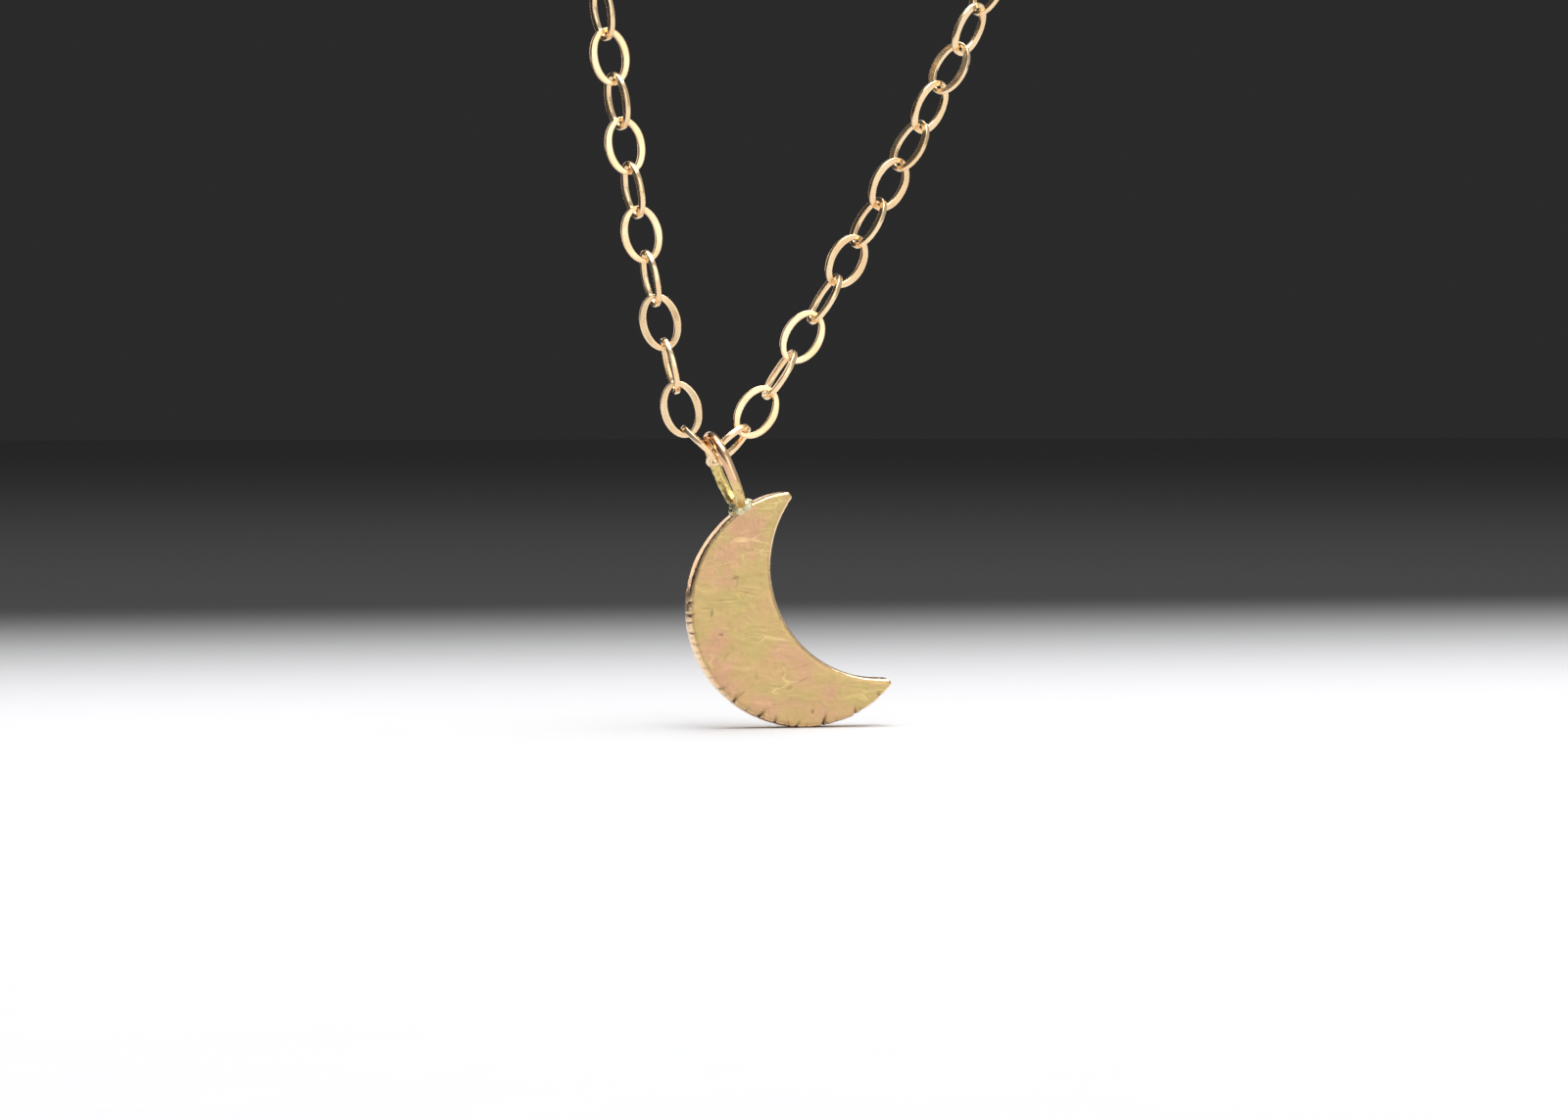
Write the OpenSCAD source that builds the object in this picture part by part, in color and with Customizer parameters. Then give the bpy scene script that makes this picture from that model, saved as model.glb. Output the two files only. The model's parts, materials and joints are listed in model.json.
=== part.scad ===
// Crescent moon pendant on a flat cable chain, hanging in its worn loop and closed by a spring ring.
// The origin is the centre of the neck opening, at the height of the chain behind the neck.
// +X is the wearer's left as seen from the front, +Y points back, +Z points up.

/* [Chain link] */
// Length of one flat oval link
link_length = 2.2; // [1.8:0.05:3]
// Width of one link
link_width = 1.56; // [1.3:0.02:2.1]
// Thickness of the flattened link wire
link_thickness = 0.2; // [0.14:0.01:0.25]
// Face width of the wire along a link's sides
side_band = 0.28; // [0.2:0.01:0.32]
// Face width of the wire at a link's two ends
end_band = 0.16; // [0.12:0.01:0.2]
// Play between two hooked links
link_play = 0.18; // [0.14:0.01:0.26]

/* [Chain run] */
// Hinging links on each side of the pendant, one solid and one body each
single_links = 13; // [6:1:13]
// Chain lengths above them on each side
chain_lengths = 6; // [3:1:6]
// Links in one of these chain lengths
links_per_length = 8; // [5:1:10]
// Straight links below the left shoulder bend
left_straight_links = 9; // [5:2:13]
// Straight links below the right shoulder bend
right_straight_links = 15; // [9:2:19]
// Links from each shoulder bend to the clasp
nape_links = 41; // [39:2:45]
// Lean of the lowest link on each side from upright
bottom_lean = 48.5; // [44:0.5:54]
// Lean of the left run of chain at the shoulder
left_lean = 7.5; // [6:0.5:10]
// Lean of the right run of chain at the shoulder
right_lean = 20; // [17:0.5:23]

/* [Crescent] */
// Radius of the crescent's outer edge
moon_radius = 4.57; // [3.8:0.01:5.5]
// Radius of the crescent's inner edge
moon_bite_radius = 4.36; // [4.1:0.01:4.7]
// Distance from the outer edge's centre to the inner edge's centre
moon_bite_offset = 3.44; // [2.9:0.01:4.1]
// Direction of the open side above level
moon_open_angle = 28.7; // [10:0.5:50]
// Thickness of the crescent sheet
moon_thickness = 1; // [0.6:0.05:1.3]
// Length cut from each point of the crescent
tip_blunt = 0.5; // [0.3:0.05:0.8]

/* [Bail] */
// Thickness of the bail wire
bail_wire = 0.43; // [0.35:0.01:0.5]
// Length of the bail loop outside
bail_length = 3.28; // [3.1:0.02:4]
// Width of the bail loop inside
bail_opening = 1.98; // [1.9:0.02:2.1]
// Lean of the bail from upright
bail_lean = 22.4; // [15:0.5:30]
// Place of the bail's foot round the crescent's rim, from level
bail_foot_angle = 123.2; // [115:0.5:130]
// Depth that the solder holds the bail's foot in the rim
bail_seat = 0.1; // [0.05:0.01:0.15]
// Clearance between the bail and the two links that hang in it
bail_clearance = 0.24; // [0.2:0.01:0.34]

/* [Clasp] */
// Radius of the spring ring's tube centreline
clasp_radius = 2.2; // [2:0.05:2.8]
// Outer radius of the spring ring's tube
clasp_tube = 0.55; // [0.5:0.01:0.65]
// Radius of the bolt that closes the spring ring
bolt_radius = 0.3; // [0.26:0.01:0.34]
// Running clearance round the bolt
bolt_clearance = 0.06; // [0.04:0.01:0.08]
// Travel of the bolt round the ring in degrees
bolt_travel = 42; // [36:1:46]
// Width of the spring ring's mouth in degrees
clasp_mouth = 40; // [34:1:44]
// Radius of the thumb lever
lever_radius = 0.2; // [0.16:0.01:0.24]
// Reach of the thumb lever outside the tube
lever_reach = 0.9; // [0.6:0.05:1.2]
// Inner radius of the clasp's eye
eye_inner = 0.4; // [0.36:0.01:0.6]
// Radius of the clasp eye's wire
eye_wire = 0.2; // [0.16:0.01:0.24]
// Inner radius of the jump ring between the chain and the clasp
jump_inner = 0.88; // [0.8:0.02:1.2]
// Radius of the jump ring's wire
jump_wire = 0.2; // [0.16:0.01:0.24]
// Inner radius of the closed ring that the clasp takes
end_ring_inner = 1.3; // [1.25:0.05:1.7]
// Radius of the closed end ring's wire
end_ring_wire = 0.25; // [0.2:0.01:0.3]
// Play where two of the clasp's rings hook
ring_play = 0.1; // [0.06:0.01:0.14]

/* [Hidden] */
$fn = 64;
GOLD = "#d9b36c";
ROSE_GOLD = "#cf9f72";
STEEL = "#b9bdc2";

NODES = concat(
  [for (side = ["left", "right"], k = [1 : single_links]) str(side, "_link_", k < 10 ? "0" : "", k)],
  [for (side = ["left", "right"], k = [1 : chain_lengths]) str(side, "_chain_", k)],
  [for (side = ["left", "right"], part = ["shoulder", "nape"]) str(side, "_", part, "_chain")],
  ["crescent", "bail", "clasp_case", "clasp_eye", "clasp_bolt", "clasp_lever", "clasp_spring",
   "clasp_jump_ring", "end_ring"]
);
node = "all";

LEFT = -1;
RIGHT = 1;

// ---- One link ----
inner_half = link_length / 2 - end_band;
pitch = 2 * inner_half - link_play;
end_radius = 0.45;             // outside, at a link's ends
hole_end_radius = 0.38;        // inside, at a link's ends
arc_steps_fine = 8;            // flats in each of an oval's four arcs on the single links
arc_steps_plain = 4;           // and on the chain lengths

function arc(cx, cy, r, from, to, n) =
  [for (i = [0 : n - 1]) let (a = from + (to - from) * i / n) [cx + r * cos(a), cy + r * sin(a)]];

// A four-arc oval of half length A and half width B with end arcs of radius r.
function oval(A, B, r, n) =
  let (R = ((A - r) * (A - r) + B * B - r * r) / (2 * (B - r)), c = R - B, e = atan2(c, A - r))
  concat(arc(A - r, 0, r, -e, e, n), arc(0, -c, R, e, 180 - e, n),
         arc(r - A, 0, r, 180 - e, 180 + e, n), arc(0, c, R, 180 + e, 360 - e, n));

module link(n) {
  outer = oval(link_length / 2, link_width / 2, end_radius, n);
  inner = oval(inner_half, link_width / 2 - side_band, hole_end_radius, n);
  linear_extrude(height = link_thickness, center = true)
    polygon(concat(outer, inner),
            paths = [[for (i = [0 : 4 * n - 1]) i], [for (i = [0 : 4 * n - 1]) 4 * n + i]]);
}

// ---- The chain's route: the joints between links, from the bottom of the V to the clasp ----
v_links = single_links + chain_lengths * links_per_length;
left_spread = 7.5;             // extra lean low on the left side, fading upwards
left_fade = 6;                 // links over which it fades
right_spread = 13;
right_fade = 16;
bottom_overlap = 0.15;         // how much deeper the two lowest links hook than the others
side_shift = 0.18;             // the left run hangs this far in front, the right run as far behind

function lean(side, k) = k == 1 ? bottom_lean :
  side == LEFT ? left_lean + left_spread * exp(-(k - 2) / left_fade)
               : right_lean + right_spread * exp(-(k - 2) / right_fade);
function heading(side, k) = [side * sin(lean(side, k)), 0, cos(lean(side, k))];
function v_joints(side) =
  [for (k = 0, p = [0, side * side_shift, 0] - bottom_overlap * heading(side, 1); k <= v_links;
        k = k + 1, p = p + pitch * heading(side, k)) p];

left_v = v_joints(LEFT);
right_v = v_joints(RIGHT);
function up(side) = heading(side, v_links);
function v_end(side) = side == LEFT ? left_v[v_links] : right_v[v_links];
function straight_links(side) = side == LEFT ? left_straight_links : right_straight_links;
function bend_start(side) = v_end(side) + straight_links(side) * pitch * up(side);

// The clasp spans this much of the chain's line.
clasp_seat = 0.15;             // how far the eye is let into the tube
clasp_span = 2 * jump_inner + 2 * (eye_inner + eye_wire + clasp_radius + end_ring_inner)
  - link_play - 2 * ring_play - clasp_seat;

// The shoulder bend's radius makes a whole number of links reach the clasp.
half_span = (bend_start(RIGHT)[0] - bend_start(LEFT)[0]) / 2;
spread = (up(RIGHT)[0] - up(LEFT)[0]) / 2;
bend_radius = (nape_links * pitch - (PI * half_span - clasp_span) / 2) / (PI / 2 * (1 + spread));
neck_radius = half_span + spread * bend_radius;
bend_end_left = bend_start(LEFT) + bend_radius * up(LEFT);
bend_end_right = bend_start(RIGHT) + bend_radius * up(RIGHT);
nape_height = (bend_end_left[2] + bend_end_right[2]) / 2;
// Where the bottom of the V lies when the neck opening's centre is the origin
v_bottom = [-(bend_end_left[0] + bend_end_right[0]) / 2, -bend_radius, -nape_height];
clasp_half_angle = asin(clasp_span / 2 / neck_radius);

// A point of the run above the V at length s from its end, and the chain's flat direction there.
function bend_length() = bend_radius * PI / 2;
function run_angle(side, s) = (s - straight_links(side) * pitch) / bend_radius * 180 / PI;
function nape_angle(side, s) =
  (s - straight_links(side) * pitch - bend_length()) / neck_radius * 180 / PI;
function nape_rise(side, a) =
  (side == LEFT ? bend_end_left[2] - nape_height : bend_end_right[2] - nape_height) * nape_fade(a);
// Falls from 1 where the nape's arc starts to 0 at the clasp.
function nape_fade(a) = 1 - a / (90 - clasp_half_angle);
function run_point(side, s) = let (a = run_angle(side, s), b = nape_angle(side, s))
  a <= 0 ? v_bottom + v_end(side) + s * up(side) :
  a < 90 ? v_bottom + bend_start(side) + bend_radius * (sin(a) * up(side) + [0, 1 - cos(a), 0]) :
  [side * neck_radius * cos(b), neck_radius * sin(b) + side * side_shift * nape_fade(b), nape_rise(side, b)];
function run_face(side, s) = let (a = run_angle(side, s))
  a <= 0 ? [0, -1, 0] : a < 90 ? [0, -cos(a), 0] + sin(a) * up(side) : [0, 0, 1];

// ---- How far each link is turned about its own length: 0 shows its face, 90 its edge ----
left_rolls = [100, 10, 90, 8, 82, 5, 75, -5, 70, -10, 72, -5, 80];
right_rolls = [-60, 8, 84, 5, 80, -12, 68, -20, 58, -32, 48, -40, 62];
roll_wander = 7;               // uneven turn of the links further up
roll_step = 137;               // spreads that unevenness from link to link
function roll(side, k) =
  k <= single_links ? (side == LEFT ? left_rolls[k - 1] : right_rolls[k - 1])
                    : (k % 2 == 1 ? 90 : 0) + roll_wander * sin(roll_step * k + 40 * side);

// Puts a link that lies along X in the XY plane between two joints, with its face towards f.
module between(p, q, f, turn) {
  d = (q - p) / norm(q - p);
  n0 = f - (f * d) * d;
  n = n0 / norm(n0);
  w = cross(n, d);
  m = n * cos(turn) + w * sin(turn);
  v = cross(m, d);
  c = (p + q) / 2;
  multmatrix([[d[0], v[0], m[0], c[0]], [d[1], v[1], m[1], c[1]], [d[2], v[2], m[2], c[2]], [0, 0, 0, 1]])
    children();
}

module v_link(side, k, n) {
  joints = side == LEFT ? left_v : right_v;
  between(v_bottom + joints[k - 1], v_bottom + joints[k], [0, -1, 0], roll(side, k)) link(n);
}

module run_link(side, k) {
  s = (k - 1) * pitch;
  between(run_point(side, s), run_point(side, s + pitch), run_face(side, s + pitch / 2),
          roll(side, v_links + k)) link(arc_steps_plain);
}

module single_link(side, k) color(GOLD) v_link(side, k, arc_steps_fine);

module chain_length(side, j) color(GOLD) {
  first = single_links + (j - 1) * links_per_length;
  for (k = [first + 1 : first + links_per_length]) v_link(side, k, arc_steps_plain);
}

function run_links(side) = straight_links(side) + nape_links;
function shoulder_links(side) = floor(run_links(side) / 2);
module shoulder_chain(side) color(GOLD) for (k = [1 : shoulder_links(side)]) run_link(side, k);
module nape_chain(side) color(GOLD)
  for (k = [shoulder_links(side) + 1 : run_links(side)]) run_link(side, k);

// ---- Pendant: worked out from the bottom of the V ----
bail_up = [-sin(bail_lean), 0, cos(bail_lean)];
bail_across = [cos(bail_lean), 0, sin(bail_lean)];
bail_sideways = -0.11;         // the bail hangs a little to one side of the joint
// From the inside of the bail down to the joint of the two links in it
bail_hang = bail_clearance + end_band + link_thickness;
bail_arc = bail_opening / 2 + bail_wire / 2;   // centreline radius of the bail's two ends
bail_top_arc = v_bottom + (bail_hang - bail_opening / 2) * bail_up - bail_sideways * bail_across;
bail_straight = bail_length - bail_opening - 2 * bail_wire;
bail_foot = bail_top_arc - (bail_straight + bail_opening / 2 + bail_wire) * bail_up;
moon_centre = bail_foot - (moon_radius - bail_seat)
  * [cos(bail_foot_angle), 0, sin(bail_foot_angle)];

// The points of the crescent lie where its two edges meet, this far round the outer edge.
tip_angle = acos((moon_radius * moon_radius + moon_bite_offset * moon_bite_offset
  - moon_bite_radius * moon_bite_radius) / (2 * moon_radius * moon_bite_offset));
// Half the angle of a point, which turns its cut square to it
tip_half = acos((moon_radius * moon_radius + moon_bite_radius * moon_bite_radius
  - moon_bite_offset * moon_bite_offset) / (2 * moon_radius * moon_bite_radius)) / 2;
tip_cut_size = 2;              // side of the square that takes a point off

module crescent_outline() {
  difference() {
    circle(r = moon_radius, $fn = 180);
    translate([moon_bite_offset, 0]) circle(r = moon_bite_radius, $fn = 180);
    for (s = [1, -1])
      rotate(s * tip_angle) translate([moon_radius, 0]) rotate(s * tip_half)
        translate([-tip_cut_size / 2, s > 0 ? tip_blunt - tip_cut_size : -tip_blunt])
          square(tip_cut_size);
  }
}

module crescent() color(ROSE_GOLD)
  translate(moon_centre) rotate([90, 0, 0]) rotate(moon_open_angle)
    linear_extrude(height = moon_thickness, center = true) crescent_outline();

// Half of a wire ring: its circle lies in the XY plane and this half spans +Y.
module half_ring(r, wire) rotate_extrude(angle = 180, $fn = 96) translate([r, 0]) circle(r = wire, $fn = 32);

module bail() color(GOLD)
  multmatrix([[0, bail_up[0], bail_across[0], bail_top_arc[0]], [1, bail_up[1], bail_across[1], bail_top_arc[1]],
              [0, bail_up[2], bail_across[2], bail_top_arc[2]], [0, 0, 0, 1]]) {
    half_ring(bail_arc, bail_wire / 2);
    translate([0, -bail_straight]) rotate(180) half_ring(bail_arc, bail_wire / 2);
    for (s = [1, -1]) translate([s * bail_arc, 0]) rotate([90, 0, 0])
      cylinder(r = bail_wire / 2, h = bail_straight, $fn = 32);
  }

// ---- Clasp: laid out along X behind the neck, from the left chain's end to the right chain's ----
clasp_left = [-clasp_span / 2, neck_radius * cos(clasp_half_angle), 0];
jump_x = jump_inner - link_play / 2;
eye_x = jump_x + jump_inner - ring_play + eye_inner;
case_x = eye_x + eye_inner + 2 * eye_wire - clasp_seat + clasp_tube + clasp_radius;
end_ring_x = case_x + clasp_radius - clasp_tube - ring_play + end_ring_inner;

// Lays a ring that was drawn in the XY plane down at a place along the clasp.
module along_clasp(x, upright) translate(clasp_left + [x, 0, 0]) rotate([upright ? 90 : 0, 0, 0]) children();

module torus_arc(r, wire, from, sweep)
  rotate(from) rotate_extrude(angle = sweep, $fn = 96) translate([r, 0]) circle(r = wire, $fn = 32);

// Angles round the spring ring, from the side that takes the end ring: the eye is at 180.
mouth_from = 60;
mouth_to = mouth_from + clasp_mouth;
bolt_overlap = 6;              // how far the closed bolt enters the tube past the mouth
bolt_from = mouth_from - bolt_overlap;
bolt_to = mouth_to + 26;       // the bolt's tail in the tube
lever_at = mouth_to + 14;
tube_bore = bolt_radius + bolt_clearance;
slot_half = asin((lever_radius + bolt_clearance) / clasp_radius);

module clasp_case() color(GOLD) along_clasp(case_x, true) {
  difference() {
    rotate(mouth_to) rotate_extrude(angle = 360 - clasp_mouth, $fn = 96) translate([clasp_radius, 0])
      circle(r = clasp_tube, $fn = 32);
    rotate(bore_from) rotate_extrude(angle = bore_sweep, $fn = 96) translate([clasp_radius, 0])
      circle(r = tube_bore, $fn = 32);
    rotate(lever_at - slot_half) rotate_extrude(angle = bolt_travel + 2 * slot_half, $fn = 96)
      translate([clasp_radius, -lever_radius - bolt_clearance])
        square([clasp_tube * 2, 2 * (lever_radius + bolt_clearance)]);
    rotate(mouth_from - socket_depth) rotate_extrude(angle = socket_depth + 1, $fn = 96)
      translate([clasp_radius, 0]) circle(r = tube_bore, $fn = 32);
  }
}
socket_depth = bolt_overlap + 2;   // blind hole that the bolt's nose closes into
spring_sweep = 60;                 // room for the spring beyond the bolt's tail
bore_from = mouth_to - 1;
bore_sweep = bolt_to - mouth_to + spring_sweep + 1;

module clasp_eye() color(GOLD) along_clasp(eye_x, true) torus_arc(eye_inner + eye_wire, eye_wire, 0, 360);
module clasp_bolt() color(GOLD) along_clasp(case_x, true)
  torus_arc(clasp_radius, bolt_radius, bolt_from, bolt_to - bolt_from);
module clasp_lever() color(GOLD) along_clasp(case_x, true) rotate(lever_at)
  translate([clasp_radius + bolt_radius, 0]) rotate([0, 90, 0])
    cylinder(r = lever_radius, h = clasp_tube - bolt_radius + lever_reach, $fn = 32);

// The return spring: a fine coil bent round the tube behind the bolt.
spring_wire = 0.05;
spring_turns = 14;
spring_radius = bolt_radius - spring_wire;
spring_gap = 1.5;              // degrees left clear behind the bolt's tail
spring_sides = 5;
spring_steps = 9;              // rings of points in one turn
function coil_point(t) = let (a = bolt_to + spring_gap + (spring_sweep - 2 * spring_gap) * t,
                              b = 360 * spring_turns * t, r = clasp_radius + spring_radius * cos(b))
  [r * cos(a), r * sin(a), spring_radius * sin(b)];
module clasp_spring() color(STEEL) along_clasp(case_x, true) {
  rings = spring_turns * spring_steps;
  points = [for (i = [0 : rings])
    let (t = i / rings, p = coil_point(t), q = coil_point(t + 0.001) - coil_point(t - 0.001), d = q / norm(q),
         a = bolt_to + spring_gap + (spring_sweep - 2 * spring_gap) * t,
         out = p - clasp_radius * [cos(a), sin(a), 0], n0 = out - (out * d) * d, n = n0 / norm(n0), w = cross(d, n))
      for (j = [0 : spring_sides - 1]) let (c = 360 * j / spring_sides)
        p + spring_wire * (cos(c) * n + sin(c) * w)];
  faces = concat(
    [[for (j = [0 : spring_sides - 1]) j]],
    [for (i = [0 : rings - 1], j = [0 : spring_sides - 1]) let (k = (j + 1) % spring_sides)
      [i * spring_sides + j, (i + 1) * spring_sides + j, (i + 1) * spring_sides + k, i * spring_sides + k]],
    [[for (j = [spring_sides - 1 : -1 : 0]) rings * spring_sides + j]]);
  polyhedron(points, faces);
}

module clasp_jump_ring() color(GOLD) along_clasp(jump_x, false)
  torus_arc(jump_inner + jump_wire, jump_wire, 0, 360);
module end_ring() color(GOLD) along_clasp(end_ring_x, false)
  torus_arc(end_ring_inner + end_ring_wire, end_ring_wire, 0, 360);

// ---- What is drawn ----
function wanted(name) = node == "all" || node == name;
for (k = [1 : single_links]) {
  if (wanted(str("left_link_", k < 10 ? "0" : "", k))) single_link(LEFT, k);
  if (wanted(str("right_link_", k < 10 ? "0" : "", k))) single_link(RIGHT, k);
}
for (j = [1 : chain_lengths]) {
  if (wanted(str("left_chain_", j))) chain_length(LEFT, j);
  if (wanted(str("right_chain_", j))) chain_length(RIGHT, j);
}
if (wanted("left_shoulder_chain")) shoulder_chain(LEFT);
if (wanted("right_shoulder_chain")) shoulder_chain(RIGHT);
if (wanted("left_nape_chain")) nape_chain(LEFT);
if (wanted("right_nape_chain")) nape_chain(RIGHT);
if (wanted("crescent")) crescent();
if (wanted("bail")) bail();
if (wanted("clasp_case")) clasp_case();
if (wanted("clasp_eye")) clasp_eye();
if (wanted("clasp_bolt")) clasp_bolt();
if (wanted("clasp_lever")) clasp_lever();
if (wanted("clasp_spring")) clasp_spring();
if (wanted("clasp_jump_ring")) clasp_jump_ring();
if (wanted("end_ring")) end_ring();
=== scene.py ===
"""Crescent pendant on a flat cable chain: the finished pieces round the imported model.

All lengths are in metres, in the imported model's frame: X across, Y back, Z up.
"""

import json
import logging
from collections.abc import Iterable
from dataclasses import dataclass, field
from enum import Enum
from math import acos, asin, atan2, copysign, cos, degrees, exp, pi, radians, remainder, sin, sqrt

import bmesh
import bpy
import numpy as np
from bmesh import ops
from mathutils import Matrix, Vector, noise


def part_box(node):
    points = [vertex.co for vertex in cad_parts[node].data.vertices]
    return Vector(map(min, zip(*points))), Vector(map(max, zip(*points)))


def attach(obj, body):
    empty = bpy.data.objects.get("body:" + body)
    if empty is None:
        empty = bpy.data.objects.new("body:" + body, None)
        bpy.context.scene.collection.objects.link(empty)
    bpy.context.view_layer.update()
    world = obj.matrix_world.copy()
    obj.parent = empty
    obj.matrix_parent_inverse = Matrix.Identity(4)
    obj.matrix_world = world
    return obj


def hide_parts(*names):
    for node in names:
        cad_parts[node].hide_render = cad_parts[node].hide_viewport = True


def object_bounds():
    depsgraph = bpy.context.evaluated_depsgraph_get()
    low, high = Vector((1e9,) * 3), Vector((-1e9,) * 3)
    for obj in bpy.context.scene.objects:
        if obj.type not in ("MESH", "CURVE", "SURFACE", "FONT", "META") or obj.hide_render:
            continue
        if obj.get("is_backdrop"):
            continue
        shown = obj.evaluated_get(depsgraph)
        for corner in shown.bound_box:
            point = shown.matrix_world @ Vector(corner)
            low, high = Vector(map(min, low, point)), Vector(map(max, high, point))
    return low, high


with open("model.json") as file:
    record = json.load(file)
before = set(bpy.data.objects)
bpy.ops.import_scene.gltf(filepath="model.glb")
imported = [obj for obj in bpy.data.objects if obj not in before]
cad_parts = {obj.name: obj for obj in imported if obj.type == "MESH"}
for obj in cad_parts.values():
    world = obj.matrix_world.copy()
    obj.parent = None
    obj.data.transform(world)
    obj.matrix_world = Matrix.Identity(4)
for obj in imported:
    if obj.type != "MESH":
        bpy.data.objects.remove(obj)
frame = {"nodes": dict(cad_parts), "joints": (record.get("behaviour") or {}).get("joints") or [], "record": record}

LOG = logging.getLogger("necklace")
MM = 0.001
NOISE_ROUGHNESS = 0.55
ORIGIN = Vector((0.0, 0.0, 0.0))
Triple = tuple[float, float, float]
Colour = Triple
Material = bpy.types.Material
Shape = bmesh.types.BMesh
Vert = bmesh.types.BMVert
Edge = bmesh.types.BMEdge
Face = bmesh.types.BMFace
Edges = list[Edge]
Socket = bpy.types.NodeSocket


class Slot(Enum):
    """The record's material slots for the finished pieces, listed here but not given to any piece."""

    CHAIN = "chain_gold"
    CRESCENT = "crescent_gold"
    BAIL = "bail_gold"
    CLASP = "clasp_gold"


class LinkDetail(Enum):
    """How finely a chain link is made: (segments round it, segments in its rounded edges)."""

    CLOSE = (76, 3)
    DISTANT = (28, 1)


# ---- shader nodes


class NodeBench:
    """Adds and joins the nodes of one material or world."""

    def __init__(self, owner: Material | bpy.types.World) -> None:
        """Opens the owner's nodes.

        Args:
            owner: The material or world.
        """
        owner.use_nodes = True
        self.nodes = owner.node_tree.nodes
        self.links = owner.node_tree.links

    def feed(self, socket: Socket, value: object) -> None:
        """Links a socket or sets its value.

        Args:
            socket: The input.
            value: Another node's output, or a plain value.
        """
        if isinstance(value, bpy.types.NodeSocket):
            self.links.new(value, socket)
        else:
            socket.default_value = value

    def node(
        self, kind: str, inputs: dict[str | int, object], output: str | int = 0, **settings: object
    ) -> Socket:
        """Adds a node.

        Args:
            kind: The node's type name.
            inputs: Values or sockets by input name or number.
            output: The wanted output.
            **settings: Properties of the node.

        Returns:
            The wanted output socket.
        """
        made = self.nodes.new(kind)
        for key, value in settings.items():
            setattr(made, key, value)
        for key, value in inputs.items():
            self.feed(made.inputs[key], value)
        return made.outputs[output]

    def span(
        self, value: Socket, low: float, high: float, to_low: float = 0.0, to_high: float = 1.0
    ) -> Socket:
        """Maps a value smoothly from low and high to two others, and holds it between them."""
        inputs = {"Value": value, "From Min": low, "From Max": high, "To Min": to_low, "To Max": to_high}
        return self.node("ShaderNodeMapRange", inputs, interpolation_type="SMOOTHSTEP")


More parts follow.
